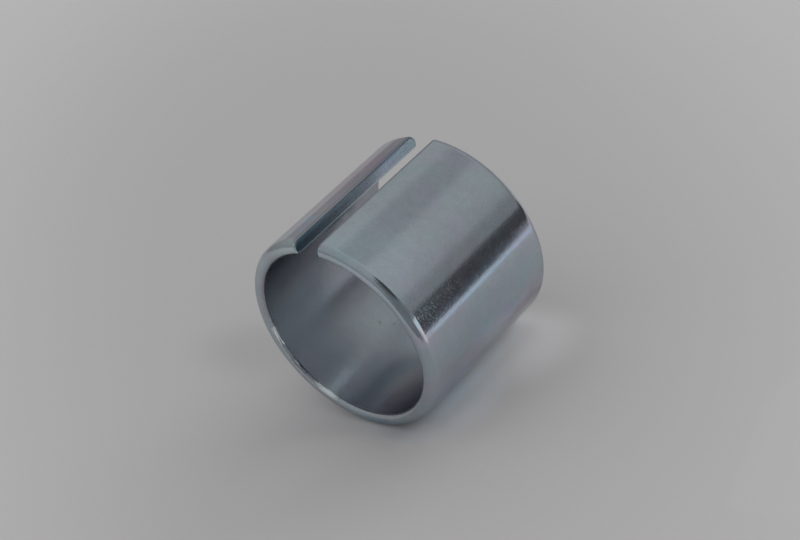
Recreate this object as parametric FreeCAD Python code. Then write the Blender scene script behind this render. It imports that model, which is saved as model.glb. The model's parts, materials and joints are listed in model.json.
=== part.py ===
import FreeCAD, Part
import math
import os

# A split sleeve bushing: one strip of steel rolled into a C and zinc plated.
# Lengths are in millimetres and angles in degrees.
# The origin is the middle of the bore. +Y runs along the bore and +Z is up.
# The sleeve lies on its side with its slot on top, because the side across from the slot is the heavy one.

# Driving dimensions
outer_diameter = 23.0
wall = 1.5
length = 20.0

# The slot runs the whole length. Its width is straight across, at the outer face of its lips.
slot_width = 3.2

# The long edges of the strip are dressed round and become the rims of the sleeve.
# Its two cut ends are only deburred and become the lips of the slot.
outer_rim_radius = 0.9
inner_rim_radius = 0.5
lip_edge_radius = 0.2

# The least flat that the two roundings of a rim leave between them
least_rim_flat = 0.05

# Sizes that follow from them
outer_radius = outer_diameter / 2
bore_radius = outer_radius - wall
half_length = length / 2
slot_half_angle = math.degrees(math.asin(slot_width / 2 / outer_radius))
strip_angle = 360 - 2 * slot_half_angle
rim_room = min(1, (wall - least_rim_flat) / (outer_rim_radius + inner_rim_radius))
outer_rounding = outer_rim_radius * rim_room
inner_rounding = inner_rim_radius * rim_room

# A turn about this axis takes +X towards +Z, and a turn of straight_up takes it to +Z
turn_axis = FreeCAD.Vector(0, -1, 0)
straight_up = 90
bore_middle = FreeCAD.Vector(0, 0, 0)


def section_point(radius, along):
    return FreeCAD.Vector(radius, along, 0)


def rounded_corner(centre_radius, centre_along, rounding, start_angle):
    """A quarter circle of the strip's section, which runs on from start_angle."""
    angles = [math.radians(start_angle + step) for step in (0, 45, 90)]
    points = [
        section_point(centre_radius + rounding * math.cos(angle), centre_along + rounding * math.sin(angle))
        for angle in angles
    ]
    return Part.Arc(*points).toShape()


def strip_section():
    """The strip cut across, with a round corner at each end of its outer and its bore face."""
    outer_in = outer_radius - outer_rounding
    bore_out = bore_radius + inner_rounding
    outer_end = half_length - outer_rounding
    bore_end = half_length - inner_rounding
    corners = [
        rounded_corner(outer_in, outer_end, outer_rounding, 0),
        rounded_corner(bore_out, bore_end, inner_rounding, 90),
        rounded_corner(bore_out, -bore_end, inner_rounding, 180),
        rounded_corner(outer_in, -outer_end, outer_rounding, 270),
    ]
    flats = [
        Part.makeLine(corner.Vertexes[-1].Point, following.Vertexes[0].Point)
        for corner, following in zip(corners, corners[1:] + corners[:1])
    ]
    outline = [edge for pair in zip(corners, flats) for edge in pair]
    return Part.Face(Part.Wire(outline))


def lip_edges(sleeve):
    """The outlines of the two flat cut faces, which alone stand square to a rim."""
    flat_faces = [face for face in sleeve.Faces if isinstance(face.Surface, Part.Plane)]
    lips = [face for face in flat_faces if abs(face.CenterOfMass.y) < half_length - outer_rounding]
    return [edge for lip in lips for edge in lip.Edges]


def split_sleeve():
    """The strip rolled round the bore from one lip of the slot to the other."""
    section = strip_section()
    section.rotate(bore_middle, turn_axis, straight_up + slot_half_angle)
    sleeve = section.revolve(bore_middle, turn_axis, strip_angle)
    return sleeve.makeFillet(lip_edge_radius, lip_edges(sleeve))


def write_node(name, shape):
    shape.exportStep(os.path.join("parts", name + ".step"))


os.makedirs("parts", exist_ok=True)
write_node("split_sleeve", split_sleeve())
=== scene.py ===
import json
import math

import bmesh
import bpy
from mathutils import Matrix, Vector


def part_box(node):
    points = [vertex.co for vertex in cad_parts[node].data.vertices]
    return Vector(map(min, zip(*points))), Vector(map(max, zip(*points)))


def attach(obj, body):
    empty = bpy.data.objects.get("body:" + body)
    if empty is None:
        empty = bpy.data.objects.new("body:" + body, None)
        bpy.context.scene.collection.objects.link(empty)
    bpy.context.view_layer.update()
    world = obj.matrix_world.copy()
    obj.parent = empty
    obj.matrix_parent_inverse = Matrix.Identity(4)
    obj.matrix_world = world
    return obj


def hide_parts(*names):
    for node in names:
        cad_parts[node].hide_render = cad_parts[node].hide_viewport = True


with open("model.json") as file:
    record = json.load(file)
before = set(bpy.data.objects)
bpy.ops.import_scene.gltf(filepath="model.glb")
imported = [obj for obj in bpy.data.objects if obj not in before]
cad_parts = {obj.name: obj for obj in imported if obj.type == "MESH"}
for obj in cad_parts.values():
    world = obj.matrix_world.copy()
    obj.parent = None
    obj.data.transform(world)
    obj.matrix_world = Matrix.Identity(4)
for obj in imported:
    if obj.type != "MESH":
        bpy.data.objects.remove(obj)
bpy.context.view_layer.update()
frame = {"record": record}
millimetre = 0.001


# One output of a node. Arithmetic on it adds Math nodes to its tree.
class Wire:
    def __init__(self, maker, socket):
        self.maker = maker
        self.socket = socket

    def math(self, operation, *others):
        return self.maker.sums(operation, self, *others)

    def __add__(self, other):
        return self.math("ADD", other)

    def __sub__(self, other):
        return self.math("SUBTRACT", other)

    def __rsub__(self, other):
        return self.maker.sums("SUBTRACT", other, self)

    def __mul__(self, other):
        return self.math("MULTIPLY", other)

    def __truediv__(self, other):
        return self.math("DIVIDE", other)

    def __rtruediv__(self, other):
        return self.maker.sums("DIVIDE", other, self)

    def __neg__(self):
        return self * -1

    __radd__ = __add__
    __rmul__ = __mul__


# Fills one node tree. node() takes a node's type, its settings and what goes into its sockets.
class NodeMaker:
    def __init__(self, tree):
        self.tree = tree
        tree.nodes.clear()

    def node(self, kind, settings=None, inputs=None, output=0):
        made = self.tree.nodes.new(kind)
        for name, value in (settings or {}).items():
            if name == "stops":
                self.setStops(made.color_ramp, value)
            else:
                setattr(made, name, value)
        for name, value in (inputs or {}).items():
            if isinstance(value, Wire):
                self.tree.links.new(value.socket, made.inputs[name])
            else:
                made.inputs[name].default_value = value
        return Wire(self, made.outputs[output]) if made.outputs else made

    def sums(self, operation, *values):
        return self.node("ShaderNodeMath", {"operation": operation}, dict(enumerate(values)))

    def setStops(self, ramp, stops):
        while len(ramp.elements) < len(stops):
            ramp.elements.new(0.5)
        for element, (place, colour) in zip(ramp.elements, stops):
            element.position = place
            element.color = (*colour, 1)

    def also(self, wire, output):
        return Wire(self, wire.socket.node.outputs[output])

    def mixColours(self, factor, first, second):
        sockets = {"Factor": factor, 6: first, 7: second}
        for place in (6, 7):
            if not isinstance(sockets[place], Wire):
                sockets[place] = (*sockets[place], 1)
        return self.node("ShaderNodeMix", {"data_type": "RGBA"}, sockets, output=2)


def newMaterial(name):
    material = bpy.data.materials.new(name)
    material.use_nodes = True
    return material, NodeMaker(material.node_tree)


def pointAt(maker, x, y, z):
    return maker.node("ShaderNodeCombineXYZ", {}, {0: x, 1: y, 2: z})


def vectorMath(maker, operation, *values, output=0):
    return maker.node("ShaderNodeVectorMath", {"operation": operation}, dict(enumerate(values)), output)


# A soft step from 0 to 1
def ramp(maker, value, low, high):
    return maker.node(
        "ShaderNodeMapRange",
        {"interpolation_type": "SMOOTHSTEP"},
        {"Value": value, "From Min": low, "From Max": high},
    )


def blend(maker, factor, first, second):
    return maker.node("ShaderNodeMix", {}, {"Factor": factor, 2: first, 3: second})


print("camera")
cameraLook = {
    "place": Vector((138.28, -118.08, 107.63)) * millimetre,
    "azimuth": 49.385,  # degrees round the sleeve, 0 looking along its bore
    "elevation": 30.362,
    "roll": -20.587,  # the picture was taken with the camera leaning over
    "lens": 92.48,  # mm, as is the sensor
    "sensor": 36.0,
    "clipStart": 10 * millimetre,
}


def makeCamera(look):
    data = bpy.data.cameras.new("photoCamera")
    data.lens = look["lens"]
    data.sensor_width = look["sensor"]
    data.clip_start = look["clipStart"]
    camera = bpy.data.objects.new("photoCamera", data)
    bpy.context.scene.collection.objects.link(camera)
    level = Matrix.Rotation(math.radians(look["azimuth"]), 3, "Z")
    tilt = Matrix.Rotation(math.radians(90 - look["elevation"]), 3, "X")
    roll = Matrix.Rotation(math.radians(look["roll"]), 3, "Z")
    camera.matrix_world = Matrix.Translation(look["place"]) @ (level @ tilt @ roll).to_4x4()
    bpy.context.scene.camera = camera


makeCamera(cameraLook)

bpy.context.scene.view_settings.view_transform = "Standard"

print("sleeve")
mounts = {mount["name"]: mount["dims"] for mount in frame["record"]["mounts"]}
sleeveLow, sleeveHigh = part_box("split_sleeve")
sleeveLength = sleeveHigh.y - sleeveLow.y
sleeve = {
    "outerRadius": mounts["outside"]["r_mm"] * millimetre,
    "boreRadius": mounts["bore"]["r_mm"] * millimetre,
    "halfLength": sleeveLength / 2,
    "outerRounding": (sleeveLength - mounts["outside"]["length_mm"] * millimetre) / 2,
    "boreRounding": (sleeveLength - mounts["bore"]["length_mm"] * millimetre) / 2,
    "slotWidth": 3.2 * millimetre,
    "lipRounding": 0.2 * millimetre,
    "facesRound": 480,  # along the strip
    "facesAcross": 30,  # along each of its two broad faces
    "facesOuterCorner": 16,
    "facesBoreCorner": 12,
    "facesLip": 6,
    "support": 0.03 * millimetre,  # narrow faces beside each rounding keep its shading crisp
}
slotHalfAngle = math.asin(sleeve["slotWidth"] / 2 / sleeve["outerRadius"])
sleeve["middleRadius"] = (sleeve["outerRadius"] + sleeve["boreRadius"]) / 2  # of the wall
sleeve["halfStrip"] = sleeve["middleRadius"] * (math.pi - slotHalfAngle)  # half of the flat strip's length


# A quarter turn from one direction to the next, as steps of a small arc
def cornerPoints(centre, radius, startAngle, steps):
    angles = [math.radians(startAngle + 90 * step / steps) for step in range(steps + 1)]
    return [(centre[0] + radius * math.cos(a), centre[1] + radius * math.sin(a)) for a in angles]


def evenSteps(first, last, steps, support):
    inner = [first + (last - first) * step / steps for step in range(1, steps)]
    edge = math.copysign(support, last - first)
    return [first + edge, *inner, last - edge]


# The strip cut across, as (across, height) pairs. The outer face lies at height 0 and the bore face
# lies a wall above it.
def sectionPoints(size, inset):
    wall = size["outerRadius"] - size["boreRadius"]
    outer, bore, half = size["outerRounding"], size["boreRounding"], size["halfLength"]
    outerEnd, boreEnd = half - outer, half - bore
    low, high = inset, wall - inset
    outerArc, boreArc = outer - inset, bore - inset
    across = [(y, low) for y in evenSteps(-outerEnd, outerEnd, size["facesAcross"], size["support"])]
    back = [(y, high) for y in evenSteps(boreEnd, -boreEnd, size["facesAcross"], size["support"])]
    return [
        *across,
        *cornerPoints((outerEnd, outer), outerArc, -90, size["facesOuterCorner"]),
        *cornerPoints((boreEnd, wall - bore), boreArc, 0, size["facesBoreCorner"]),
        *back,
        *cornerPoints((-boreEnd, wall - bore), boreArc, 90, size["facesBoreCorner"]),
        *cornerPoints((-outerEnd, outer), outerArc, 180, size["facesOuterCorner"]),
    ]


# Where the strip is cut across: (place along it, how far in its outline has shrunk)
def stripStations(size):
    halfStrip, lip, steps = size["halfStrip"], size["lipRounding"], size["facesLip"]
    turns = [math.radians(90 * step / steps) for step in range(steps + 1)]
    start = [(-halfStrip + lip * (1 - math.sin(t)), lip * (1 - math.cos(t))) for t in reversed(turns)]
    start = [(-halfStrip, lip + size["support"]), *start]
    inner = halfStrip - lip
    middle = [(along, 0) for along in evenSteps(-inner, inner, size["facesRound"], size["support"])]
    return [*start, *middle, *[(-along, inset) for along, inset in reversed(start)]]


def makeStrip(size):
    mesh = bmesh.new()
    rings = []
    for along, inset in stripStations(size):
        rings.append([mesh.verts.new((along, y, z)) for y, z in sectionPoints(size, inset)])
    count = len(rings[0])
    for ring, following in zip(rings, rings[1:]):
        for step in range(count):
            nextStep = (step + 1) % count
            mesh.faces.new((ring[step], following[step], following[nextStep], ring[nextStep]))
    mesh.faces.new(rings[0])
    mesh.faces.new(reversed(rings[-1]))
    bmesh.ops.recalc_face_normals(mesh, faces=mesh.faces)
    for face in mesh.faces:
        face.smooth = True
    data = bpy.data.meshes.new("stripBlank")
    mesh.to_mesh(data)
    mesh.free()
    piece = bpy.data.objects.new("stripBlank", data)
    bpy.context.scene.collection.objects.link(piece)
    return piece


# The tree that rolls the flat strip round the bore. The strip's middle ends up opposite the slot.
def rollingTree():
    tree = bpy.data.node_groups.new("rollStrip", "GeometryNodeTree")
    face = tree.interface
    face.new_socket("Geometry", in_out="INPUT", socket_type="NodeSocketGeometry")
    face.new_socket("Outer Radius", in_out="INPUT", socket_type="NodeSocketFloat")
    face.new_socket("Wall", in_out="INPUT", socket_type="NodeSocketFloat")
    face.new_socket("Finish", in_out="INPUT", socket_type="NodeSocketMaterial")
    face.new_socket("Geometry", in_out="OUTPUT", socket_type="NodeSocketGeometry")
    maker = NodeMaker(tree)
    strip = maker.node("NodeGroupInput")
    outerRadius, wall = maker.also(strip, "Outer Radius"), maker.also(strip, "Wall")
    position = maker.node("GeometryNodeInputPosition")
    flat = maker.node("ShaderNodeSeparateXYZ", {}, {0: position})
    along, across, height = flat, maker.also(flat, 1), maker.also(flat, 2)
    angle = along / (outerRadius - wall / 2)
    radius = outerRadius - height
    rolled = pointAt(maker, radius * angle.math("SINE"), across, -(radius * angle.math("COSINE")))
    placed = maker.node("GeometryNodeSetPosition", {}, {"Geometry": strip, "Position": rolled})
    whole = maker.node("GeometryNodeRealizeInstances", {}, {0: placed})
    finish = maker.also(strip, "Finish")
    finished = maker.node("GeometryNodeSetMaterial", {}, {"Geometry": whole, "Material": finish})
    maker.node("NodeGroupOutput", {}, {0: finished})
    return tree


def setInputs(modifier, values):
    for item in modifier.node_group.interface.items_tree:
        if item.in_out == "INPUT" and item.name in values:
            modifier[item.identifier] = values[item.name]


def makeSleeve(size, finish):
    blank = makeStrip(size)
    modifier = blank.modifiers.new("rollStrip", "NODES")
    modifier.node_group = rollingTree()
    setInputs(
        modifier,
        {
            "Outer Radius": size["outerRadius"],
            "Wall": size["outerRadius"] - size["boreRadius"],
            "Finish": finish,
        },
    )
    graph = bpy.context.evaluated_depsgraph_get()
    data = bpy.data.meshes.new_from_object(blank.evaluated_get(graph), depsgraph=graph)
    data.name = "sleeve"
    piece = bpy.data.objects.new("sleeve", data)
    bpy.context.scene.collection.objects.link(piece)
    bpy.data.objects.remove(blank)
    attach(piece, "root")
    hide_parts("split_sleeve")
    return piece


print("zinc finish")
zinc = {
    "colour": (0.56, 0.613, 0.66),
    "boreColour": (0.49, 0.525, 0.57),
    "rimColour": (0.472, 0.533, 0.572),
    "lipColour": (0.475, 0.61, 0.675),  # the sheared faces of the slot
    "slotEdgeShadeColour": (0.36, 0.39, 0.43),  # painted shade on the narrow rounding outside them
    "edgeTint": (0.8, 0.8, 0.8),  # how much of the glancing glare it keeps
    "faceRoughness": 0.115,
    "boreRoughness": 0.235,
    "rimRoughness": 0.085,
    "lipRoughness": 0.17,
    "cornerRoughness": 0.32,  # the rounding between rim and bore
    "roughnessSwing": 0.08,
    "hues": [
        (0.28, (0.94, 1.02, 1.02)),
        (0.45, (0.99, 1.0, 1.0)),
        (0.55, (1.01, 0.99, 1.0)),
        (0.66, (1.03, 0.96, 1.02)),
    ],
    "boreHue": 0.4,  # share of the hues left in the bore
    "hueSize": 3.5 * millimetre,
    "cloudSize": 1.3 * millimetre,
    "cloudDepth": 0.20,
    "speckleSize": 0.2 * millimetre,
    "speckleDepth": 0.20,
    "boreSpeckle": 2.4,  # times as deep in the bore
    "streakWide": 0.5 * millimetre,
    "streakLong": 9.0 * millimetre,
    "streakHeight": 0.004 * millimetre,
    "pitSize": 0.2 * millimetre,
    "pitDepth": 0.0019 * millimetre,
    "pitNoise": (0.55, 0.7),  # where in its noise a pit starts, and where it is deepest
    "grainSize": 0.22 * millimetre,
    "grainHeight": 0.005 * millimetre,
    "boreGrainHeight": 0.010 * millimetre,
    "shearWide": 0.2 * millimetre,
    "shearLong": 2.0 * millimetre,
    "shearHeight": 0.005 * millimetre,
}

# Where the plating went pink, straw or blue, with painted shade and painted highlights that darken or
# lighten what the zinc mirrors.
# Places and sizes are in degrees round from the bottom and mm along the bore.
tintsAndPaintedLight = {
    "ragged": (10.0, 1.8, 0.0),  # how far the edges of a patch wander
    "core": 0.2,  # share of a patch's size that has its full tint
    "speckCore": 0.5,
    "patches": [
        # painted shade: darkens the side towards +X
        {"at": (94, 0), "size": (22, 16), "tint": (0.93, 0.93, 0.93)},
        {"at": (-145, 0), "size": (14, 16), "tint": (0.84, 0.82, 0.84)},
        {"at": (140, -8), "size": (50, 8), "tint": (1.07, 1.10, 1.12)},
        # painted shade with a bluish tint: darkens the side towards +X
        {"at": (84, 0), "size": (22, 16), "tint": (0.90, 0.98, 1.0)},
        {"at": (73, -1), "size": (7, 2.6), "tint": (0.93, 1.04, 1.07)},
        {"at": (69, 3.6), "size": (6, 2.6), "tint": (0.90, 0.94, 1.05)},
        {"at": (60, 6), "size": (8, 5), "tint": (0.87, 0.75, 0.80)},
        # painted highlight: lightens the near rim's rounding beside the slot
        {"at": (-166, -9.7), "size": (17, 0.9), "tint": (1.16, 1.15, 1.13)},
        # painted shade: darkens the bottom of the near rim, where it mirrors the shadow at the contact
        {"at": (3, -10), "size": (16, 1.4), "tint": (0.80, 0.87, 0.92)},
        {"at": (54, -6), "size": (9, 5), "tint": (1.08, 0.95, 1.08)},
        {"at": (-164, 3.5), "size": (16, 9), "tint": (0.94, 0.78, 0.83)},
        {"at": (-165, -4), "size": (9, 0.9), "tint": (1.12, 1.01, 0.90)},
        {"at": (-160, -5.3), "size": (10, 1.1), "tint": (0.93, 1.0, 1.08)},
        {"at": (-163, -7), "size": (11, 1.3), "tint": (1.02, 0.96, 1.08)},
        {"at": (-172, 6), "size": (4, 5), "tint": (0.92, 0.99, 1.03)},
    ],
    "borePatches": [
        {"at": (-115, -5), "size": (32, 9), "tint": (0.97, 0.89, 0.86)},
        # painted highlights: this patch and the next lighten the bore where a lit streak runs in from the
        # near end
        {"at": (9, -5), "size": (22, 8), "tint": (1.24, 1.06, 1.01)},
        {"at": (-33, -8.8), "size": (5, 5), "tint": (1.20, 1.26, 1.30)},
        {"at": (-119, 3.3), "size": (7, 4), "tint": (0.55, 0.61, 0.64)},
    ],
    # painted light: lightens the sheared faces of the slot
    "lipPaintedLight": [
        {"at": (-172, -1), "size": (12, 12), "tint": (1.27, 1.19, 1.15)},
        {"at": (172, -1), "size": (12, 12), "tint": (1.27, 1.19, 1.15)},
    ],
    "specks": [
        {"at": (60, 3.6), "size": (0.9, 0.16), "tint": (0.75, 0.60, 0.62)},
        {"at": (-42, 1.0), "size": (1.0, 0.17), "tint": (0.72, 0.72, 0.74)},
        {"at": (-35, 2.0), "size": (1.0, 0.17), "tint": (0.74, 0.74, 0.76)},
        {"at": (134, 3.1), "size": (0.35, 3.4), "tint": (0.93, 0.93, 0.935)},  # a scratch along the sleeve
    ],
}

# The inner rim, rubbed where a tool scraped round it, with painted glints: bright and dark strokes in its
# colour stand in for glints of light. Degrees round from the bottom.
burnishAndGlints = {
    "stretches": [
        {"from": -88, "to": -71, "fade": 3, "strength": 1.0, "bright": 0.66},  # bright: share of strokes painted as lit glints
        {"from": -64, "to": -50, "fade": 3, "strength": 0.9, "bright": 0.5},
        {"from": -48, "to": -22, "fade": 10, "strength": 0.8, "bright": 1.0},
    ],
    "lineWide": 0.075 * millimetre,
    "lineLong": 1.2 * millimetre,
    "lean": 0.4,
    "lineNoise": (0.65, 0.75),  # where in the lines' noise a painted glint stroke starts, and where it is brightest
    "brightLift": 0.4,  # what a stretch with more painted glints adds to that noise
    "height": 0.012 * millimetre,
    # painted glints: the strokes' bright colour and dark colour stand in for the light and dark that the
    # rubbed edge mirrors
    "colour": (0.92, 0.98, 1.0),
    "darkColour": (0.26, 0.31, 0.36),
    "roughness": 0.07,
}

# Where one sort of surface fades into the next: how far past its border a fade starts and ends
fades = {
    "bore": (0.05 * millimetre, 0.4 * millimetre),
    "boreCorner": (0.2 * millimetre, 0.4 * millimetre),
    "boreEnd": (-0.2 * millimetre, 0.1 * millimetre),
    "nearBoreEnd": (-0.05 * millimetre, 0.1 * millimetre),
    "rim": (0.1 * millimetre, 0.5 * millimetre),
    "lip": (-0.28 * millimetre, -0.12 * millimetre),
    "besideLip": (-0.4 * millimetre, -0.2 * millimetre),
    "outerFace": (-0.3 * millimetre, -0.15 * millimetre),
}


# The rolled strip laid flat again: place along it, place across it, and distance from the bore's middle
def flatPlace(maker):
    place = maker.node("ShaderNodeTexCoord", output="Object")
    x = maker.node("ShaderNodeSeparateXYZ", {}, {0: place})
    across, z = maker.also(x, 1), maker.also(x, 2)
    radius = (x * x + z * z).math("SQRT")
    along = x.math("ARCTAN2", -z) * sleeve["middleRadius"]
    return along, across, radius


def noise(maker, vector, size, detail=2.0, roughness=0.5):
    inputs = {"Vector": vector, "Scale": 1 / size, "Detail": detail, "Roughness": roughness}
    return maker.node("ShaderNodeTexNoise", {}, inputs)


# Where each sort of surface is: the bore, the rims, the corner between them, the lips of the slot with the
# painted shade on the edge outside them, and the rubbed stretches with their share of painted glints
def surfaceMasks(maker, along, across, radius):
    def past(value, border, name):
        start, end = fades[name]
        return ramp(maker, value, border + start, border + end)

    fromMiddle, fromBottom = across.math("ABSOLUTE"), along.math("ABSOLUTE")
    outerEnd = sleeve["halfLength"] - sleeve["outerRounding"]
    boreEnd = sleeve["halfLength"] - sleeve["boreRounding"]
    inner = 1 - past(radius, sleeve["boreRadius"], "boreCorner")
    perDegree = math.radians(1) * sleeve["middleRadius"]
    rubbed, bright = 0.0, 0.0
    for stretch in burnishAndGlints["stretches"]:
        first, last, fade = (stretch[name] * perDegree for name in ("from", "to", "fade"))
        here = ramp(maker, along, first, first + fade) * (1 - ramp(maker, along, last - fade, last))
        rubbed, bright = rubbed + here * stretch["strength"], bright + here * stretch["bright"]
    beside = past(fromBottom, sleeve["halfStrip"], "besideLip")
    return {
        "bore": 1 - past(radius, sleeve["boreRadius"], "bore"),
        "rim": past(fromMiddle, outerEnd, "rim"),
        "corner": past(fromMiddle, boreEnd, "boreEnd") * inner,
        "lip": past(fromBottom, sleeve["halfStrip"], "lip"),
        # painted shade: the narrow rounding outside the slot faces
        "slotEdgeShade": beside * past(radius, sleeve["outerRadius"], "outerFace"),
        "rubbedAndGlinting": rubbed * past(-across, boreEnd, "nearBoreEnd") * inner,
        "bright": bright,
    }


def tintPatch(maker, colour, place, patch, mask, core):
    offset = vectorMath(maker, "SUBTRACT", place, (*patch["at"], 0.0))
    share = vectorMath(maker, "DIVIDE", offset, (*patch["size"], 1.0))
    away = vectorMath(maker, "LENGTH", share, output="Value")
    factor = (1 - ramp(maker, away, core, 1.0)) * mask
    return maker.node(
        "ShaderNodeMix",
        {"data_type": "RGBA", "blend_type": "MULTIPLY"},
        {"Factor": factor, 6: colour, 7: (*patch["tint"], 1)},
        output=2,
    )


# Long thin strokes along the rim, leaning a little across it: the rubbed edge's scratches, which also carry
# the painted glints
def burnishAndGlintLines(maker, along, across, radius):
    squeeze = burnishAndGlints["lineWide"] / burnishAndGlints["lineLong"]
    place = pointAt(maker, along * squeeze, across + along * (burnishAndGlints["lean"] * squeeze), radius)
    return noise(maker, place, burnishAndGlints["lineWide"], detail=1.0)


# The place on the strip in the patches' units, plain and with the wander that makes their edges ragged
def patchPlaces(maker, flat, along, across, look):
    place = pointAt(maker, along * (math.degrees(1) / sleeve["middleRadius"]), across / millimetre, 0.0)
    inputs = {"Vector": flat, "Scale": 1 / look["cloudSize"], "Detail": 3.0}
    clouds = maker.node("ShaderNodeTexNoise", {}, inputs, output="Color")
    wander = vectorMath(maker, "SUBTRACT", clouds, (0.5, 0.5, 0.5))
    wander = vectorMath(maker, "MULTIPLY", wander, tintsAndPaintedLight["ragged"])
    return place, vectorMath(maker, "ADD", place, wander)


def addTintsAndPaintedLight(maker, colour, places, masks):
    place, ragged = places
    groups = [("patches", 1 - masks["bore"]), ("borePatches", masks["bore"]), ("lipPaintedLight", masks["lip"])]
    for name, mask in groups:
        for patch in tintsAndPaintedLight[name]:
            colour = tintPatch(maker, colour, ragged, patch, mask, tintsAndPaintedLight["core"])
    for speck in tintsAndPaintedLight["specks"]:
        colour = tintPatch(maker, colour, place, speck, 1.0, tintsAndPaintedLight["speckCore"])
    return colour


# Noise as a factor that swings about 1
def swing(noiseValue, depth):
    return 1 + (noiseValue - 0.5) * depth


# The zinc's base colour: plating hues and tints, with painted shade, painted highlights and painted glints
# laid in
def zincColourWithPaintedLight(maker, flat, along, across, radius, masks, look):
    hueNoise = noise(maker, flat, look["hueSize"], detail=2.5)
    hue = maker.node("ShaderNodeValToRGB", {"stops": look["hues"]}, {0: hueNoise})
    hue = maker.mixColours(masks["bore"] * (1 - look["boreHue"]), hue, (1.0, 1.0, 1.0))
    metal = maker.mixColours(masks["rim"], look["colour"], look["rimColour"])
    metal = maker.mixColours(masks["bore"], metal, look["boreColour"])
    metal = maker.mixColours(masks["lip"], metal, look["lipColour"])
    # painted shade on the narrow rounding outside the slot faces
    metal = maker.mixColours(masks["slotEdgeShade"], metal, look["slotEdgeShadeColour"])
    colour = vectorMath(maker, "MULTIPLY", metal, hue)
    colour = addTintsAndPaintedLight(maker, colour, patchPlaces(maker, flat, along, across, look), masks)
    cloud = swing(noise(maker, flat, look["cloudSize"], detail=4.0, roughness=0.6), look["cloudDepth"])
    depth = blend(maker, masks["bore"], look["speckleDepth"], look["speckleDepth"] * look["boreSpeckle"])
    speckle = swing(noise(maker, flat, look["speckleSize"], roughness=0.7), depth)
    inputs = {0: colour, "Scale": cloud * speckle}
    mottled = maker.node("ShaderNodeVectorMath", {"operation": "SCALE"}, inputs)
    # painted glints: bright and dark strokes laid into the colour of the rubbed stretches
    lines = burnishAndGlintLines(maker, along, across, radius) + masks["bright"] * burnishAndGlints["brightLift"]
    stroke = ramp(maker, lines, *burnishAndGlints["lineNoise"])
    glintStrokes = maker.mixColours(stroke, burnishAndGlints["darkColour"], burnishAndGlints["colour"])
    return maker.mixColours(masks["rubbedAndGlinting"], mottled, glintStrokes)


def zincRelief(maker, flat, along, across, radius, masks, look):
    streakPlace = pointAt(maker, along, across * (look["streakWide"] / look["streakLong"]), radius)
    streaks = noise(maker, streakPlace, look["streakWide"], detail=3.0) * look["streakHeight"]
    grain = noise(maker, flat, look["grainSize"], roughness=0.6)
    grain = grain * blend(maker, masks["bore"], look["grainHeight"], look["boreGrainHeight"])
    shearPlace = pointAt(maker, 0.0, across, radius * (look["shearWide"] / look["shearLong"]))
    shear = noise(maker, shearPlace, look["shearWide"]) * masks["lip"] * look["shearHeight"]
    lines = burnishAndGlintLines(maker, along, across, radius) * masks["rubbedAndGlinting"] * burnishAndGlints["height"]
    pits = ramp(maker, noise(maker, flat, look["pitSize"], detail=1.0), *look["pitNoise"])
    pits = pits * (1 - masks["bore"]) * look["pitDepth"]
    height = streaks + grain + shear + lines - pits
    return maker.node("ShaderNodeBump", {}, {"Height": height, "Distance": 1.0, "Strength": 1.0})


def zincRoughness(maker, flat, masks, look):
    clouds = noise(maker, flat, look["cloudSize"] * 2, detail=3.0)
    rough = look["faceRoughness"] + (clouds - 0.5) * look["roughnessSwing"]
    rough = blend(maker, masks["rim"], rough, look["rimRoughness"])
    rough = blend(maker, masks["bore"], rough, look["boreRoughness"])
    rough = blend(maker, masks["lip"], rough, look["lipRoughness"])
    rough = blend(maker, masks["corner"], rough, look["cornerRoughness"])
    return blend(maker, masks["rubbedAndGlinting"], rough, burnishAndGlints["roughness"])


def makeZinc(look):
    material, maker = newMaterial("blueZinc")
    along, across, radius = flatPlace(maker)
    flat = pointAt(maker, along, across, radius)
    masks = surfaceMasks(maker, along, across, radius)
    shader = maker.node(
        "ShaderNodeBsdfPrincipled",
        {},
        {
            "Base Color": zincColourWithPaintedLight(maker, flat, along, across, radius, masks, look),
            "Metallic": 1.0,
            "Roughness": zincRoughness(maker, flat, masks, look),
            "Specular Tint": (*look["edgeTint"], 1),
            "Normal": zincRelief(maker, flat, along, across, radius, masks, look),
        },
    )
    maker.node("ShaderNodeOutputMaterial", {}, {"Surface": shader})
    return material


sleevePiece = makeSleeve(sleeve, makeZinc(zinc))
print("sleeve faces", len(sleevePiece.data.polygons))

print("floor and light")
floor = {
    "size": 3.0,  # metres
    # painted shade: the paper's colour darkens towards an oval middle, standing in for dimmer light there
    "shadedPaperColour": (0.375, 0.364, 0.357),
    "litPaperColour": (0.471, 0.458, 0.447),
    "middle": (-31.0, 23.0),  # mm; the painted shade on the paper is darkest here
    "longWay": 142.3,  # degrees; the painted dim oval is this way twice as long
    "stretch": 2.0,
    "brightensFrom": 18,  # mm from the middle
    "brightensTo": 76,
    "roughness": 0.9,
    "spotCore": 0.1,  # share of a spot's size that has its full tint
    "paintedSpots": [  # places and sizes in mm: painted light where the zinc throws light onto the paper, and painted shade where it keeps light off
        {"at": (6.5, 5.5), "size": (9.5, 9), "tint": (1.49, 1.51, 1.53)},
        {"at": (7, -4), "size": (5.5, 7.5), "tint": (1.26, 1.36, 1.43)},
        {"at": (5, 0), "size": (2.6, 14), "tint": (1.29, 1.34, 1.38)},
        {"at": (3.5, -10), "size": (4.5, 1.9), "tint": (0.80, 0.83, 0.88)},
        {"at": (-25, -3), "size": (11, 7), "tint": (0.88, 0.885, 0.89)},
    ],
}

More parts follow.
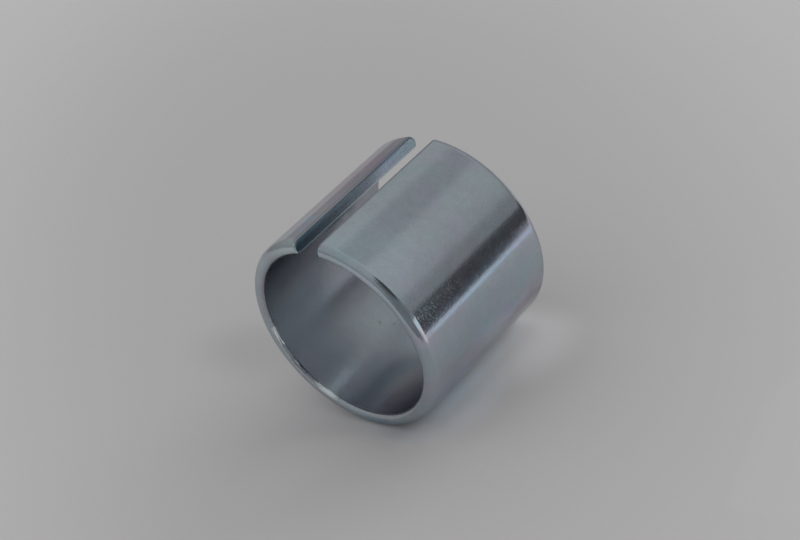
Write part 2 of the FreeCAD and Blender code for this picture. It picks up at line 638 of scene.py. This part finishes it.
# What the zinc mirrors. Angles are in degrees: azimuth from +X towards +Y, elevation above the floor.
room = {
    "lowTone": (0.30, 0.305, 0.31),
    "highTone": (0.375, 0.395, 0.39),
    "lowElevation": 8,
    "highElevation": 42,
    "soft": (0.7, 1.15),  # where a shade starts to fade and where it ends, as shares of its size
    "shades": {
        "beam": {"tone": (0.30, 0.315, 0.32), "azimuth": 85, "elevation": 60, "wide": 32, "high": 14},
        "wall": {"tone": (0.325, 0.32, 0.331), "azimuth": 146, "elevation": 6, "wide": 24, "high": 18},
        "haze": {"tone": (0.235, 0.24, 0.245), "azimuth": 42, "elevation": 4, "wide": 34, "high": 15},
        "tableEnd": {"tone": (0.055, 0.056, 0.06), "azimuth": 42, "elevation": -3, "wide": 28, "high": 8},
        "dusk": {"tone": (0.19, 0.197, 0.20), "azimuth": -27, "elevation": 0, "wide": 56, "high": 46},
        "dimBoard": {"tone": (0.16, 0.145, 0.145), "azimuth": -50, "elevation": 30, "wide": 14, "high": 12},
        "darkBoard": {"tone": (0.06, 0.06, 0.065), "azimuth": -17, "elevation": 40, "wide": 25, "high": 16},
    },
    "light": (0.865, 0.882, 0.915),  # what the room sends to the floor
}

window = {
    "place": (0.32, 1.06, 0.45),  # metres
    "size": 0.85,
    "power": 5.0,  # watts
    "colour": (1.0, 0.95, 0.90),
}

# Outside the picture the sheet has a bright edge, and the table goes dark beyond it. Corners: (x, y) in mm.
tableTop = {
    "lift": 0.1,  # mm above the floor
    "cards": {
        "sheetEdge": {
            "colour": (0.74, 0.71, 0.68),
            "corners": [(42, -9), (38, 4), (38.5, 12), (48, 12), (110, 42), (110, -16)],
        },
        "sheetStrip": {
            "colour": (0.64, 0.76, 0.90),
            "corners": [(38, 12.5), (42.4, 34), (46, 50), (51, 50), (47.2, 34), (42.2, 12.5)],
        },
        "sheetShadow": {
            "colour": (0.095, 0.105, 0.13),
            "corners": [
                (47, 14), (49, 26), (52, 36), (57, 45), (65, 52), (76, 62),
                (84, 62), (77, 53), (71.5, 45), (65.5, 36), (61.5, 28), (58.5, 18.5),
            ],
        },
        "tableEnd": {
            "colour": (0.06, 0.06, 0.065),
            "corners": [
                (58.5, 18.5), (61.5, 28), (65.5, 36), (71.5, 45), (77, 53), (84, 62), (74, 65),
                (48, 76), (22, 80), (30, 112), (49, 167), (116, 329), (500, 1450), (1450, 1450),
                (1450, 880), (250, 138), (110, 51.5),
            ],
        },
        "duskTable": {
            "colour": (0.215, 0.22, 0.225),
            "corners": [
                (5, -60), (36, -38), (46, -20), (110, -37), (1450, -480), (1450, -1450), (-240, -1450),
            ],
        },
    },
    "farWindow": {"colour": (0.66, 0.77, 0.80), "line": [(110, -35), (110, 51)], "height": 20},
}


def makeFloorPaper(look):
    material, maker = newMaterial("floorPaper")
    metres = maker.node("ShaderNodeTexCoord", output="Object")
    place = vectorMath(maker, "MULTIPLY", metres, (1 / millimetre, 1 / millimetre, 0))
    offset = vectorMath(maker, "SUBTRACT", place, (*look["middle"], 0))
    turned = maker.node(
        "ShaderNodeVectorRotate",
        {"rotation_type": "Z_AXIS"},
        {"Vector": offset, "Angle": -math.radians(look["longWay"])},
    )
    oval = vectorMath(maker, "DIVIDE", turned, (look["stretch"], 1, 1))
    away = vectorMath(maker, "LENGTH", oval, output="Value")
    # painted shade: the paper darkens towards the oval's middle
    fade = ramp(maker, away, look["brightensFrom"], look["brightensTo"])
    colour = maker.mixColours(fade, look["shadedPaperColour"], look["litPaperColour"])
    # painted light and painted shade spots on the paper
    for spot in look["paintedSpots"]:
        colour = tintPatch(maker, colour, place, spot, 1.0, look["spotCore"])
    inputs = {"Base Color": colour, "Roughness": look["roughness"]}
    shader = maker.node("ShaderNodeBsdfPrincipled", {}, inputs)
    maker.node("ShaderNodeOutputMaterial", {}, {"Surface": shader})
    return material


def glowMaterial(name, colour):
    material, maker = newMaterial(name)
    shader = maker.node("ShaderNodeEmission", {}, {"Color": (*colour, 1), "Strength": 1.0})
    maker.node("ShaderNodeOutputMaterial", {}, {"Surface": shader})
    return material


def makeCard(name, corners, material):
    data = bpy.data.meshes.new(name)
    data.from_pydata(corners, [], [tuple(range(len(corners)))])
    data.materials.append(material)
    card = bpy.data.objects.new(name, data)
    bpy.context.scene.collection.objects.link(card)
    return card


# A card that the metal mirrors, and nothing else sees
def makeMirroredCard(name, corners, colour):
    card = makeCard(name, corners, glowMaterial(name, colour))
    card.visible_camera = False
    card.visible_diffuse = False
    card.visible_shadow = False
    card.visible_transmission = False


# Corners in mm laid at a height that is already in metres
def lying(corners, height):
    return [(x * millimetre, y * millimetre, height) for x, y in corners]


def standing(line, ground, height):
    top = ground + height * millimetre
    return [*lying(line, ground), *lying(reversed(line), top)]


def makeTableTop(look, ground):
    height = ground + look["lift"] * millimetre
    for name, card in look["cards"].items():
        makeMirroredCard(name, lying(card["corners"], height), card["colour"])
    far = look["farWindow"]
    makeMirroredCard("farWindow", standing(far["line"], ground, far["height"]), far["colour"])


def makeWindow(look):
    data = bpy.data.lights.new("window", "AREA")
    data.size = look["size"]
    data.energy = look["power"]
    data.color = look["colour"]
    lamp = bpy.data.objects.new("window", data)
    bpy.context.scene.collection.objects.link(lamp)
    place = Vector(look["place"])
    lamp.matrix_world = Matrix.Translation(place) @ place.to_track_quat("Z", "Y").to_matrix().to_4x4()
    lamp.visible_glossy = False


# How much of a soft oval, in azimuth and elevation, a direction lies in
def softOval(maker, azimuth, elevation, shade, soft):
    turn = maker.sums("WRAP", azimuth - shade["azimuth"], 180.0, -180.0)
    across, up = turn / shade["wide"], (elevation - shade["elevation"]) / shade["high"]
    away = (across * across + up * up).math("SQRT")
    return 1 - ramp(maker, away, *soft)


def makeRoom(look):
    world = bpy.data.worlds.new("room")
    bpy.context.scene.world = world
    world.use_nodes = True
    maker = NodeMaker(world.node_tree)
    direction = maker.node("ShaderNodeTexCoord", output="Generated")
    x = maker.node("ShaderNodeSeparateXYZ", {}, {0: direction})
    azimuth = maker.also(x, 1).math("ARCTAN2", x) * math.degrees(1)
    elevation = maker.also(x, 2).math("ARCSINE") * math.degrees(1)
    rise = ramp(maker, elevation, look["lowElevation"], look["highElevation"])
    tone = maker.mixColours(rise, look["lowTone"], look["highTone"])
    for shade in look["shades"].values():
        oval = softOval(maker, azimuth, elevation, shade, look["soft"])
        tone = maker.mixColours(oval, tone, shade["tone"])
    path = maker.node("ShaderNodeLightPath", output="Is Camera Ray")
    mirrored = maker.also(path, "Is Glossy Ray").math("MAXIMUM", maker.also(path, "Is Transmission Ray"))
    direct = maker.also(path, "Diffuse Depth").math("LESS_THAN", 1.0)
    seen = path.math("MAXIMUM", mirrored * direct)
    colour = maker.mixColours(seen, look["light"], tone)
    shader = maker.node("ShaderNodeBackground", {}, {"Color": colour, "Strength": 1.0})
    maker.node("ShaderNodeOutputWorld", {}, {"Surface": shader})


def makeStage():
    ground, half = -sleeve["outerRadius"], floor["size"] / 2
    corners = [(-half, -half, ground), (half, -half, ground), (half, half, ground), (-half, half, ground)]
    makeCard("floor", corners, makeFloorPaper(floor))
    makeTableTop(tableTop, ground)
    makeWindow(window)
    makeRoom(room)


makeStage()
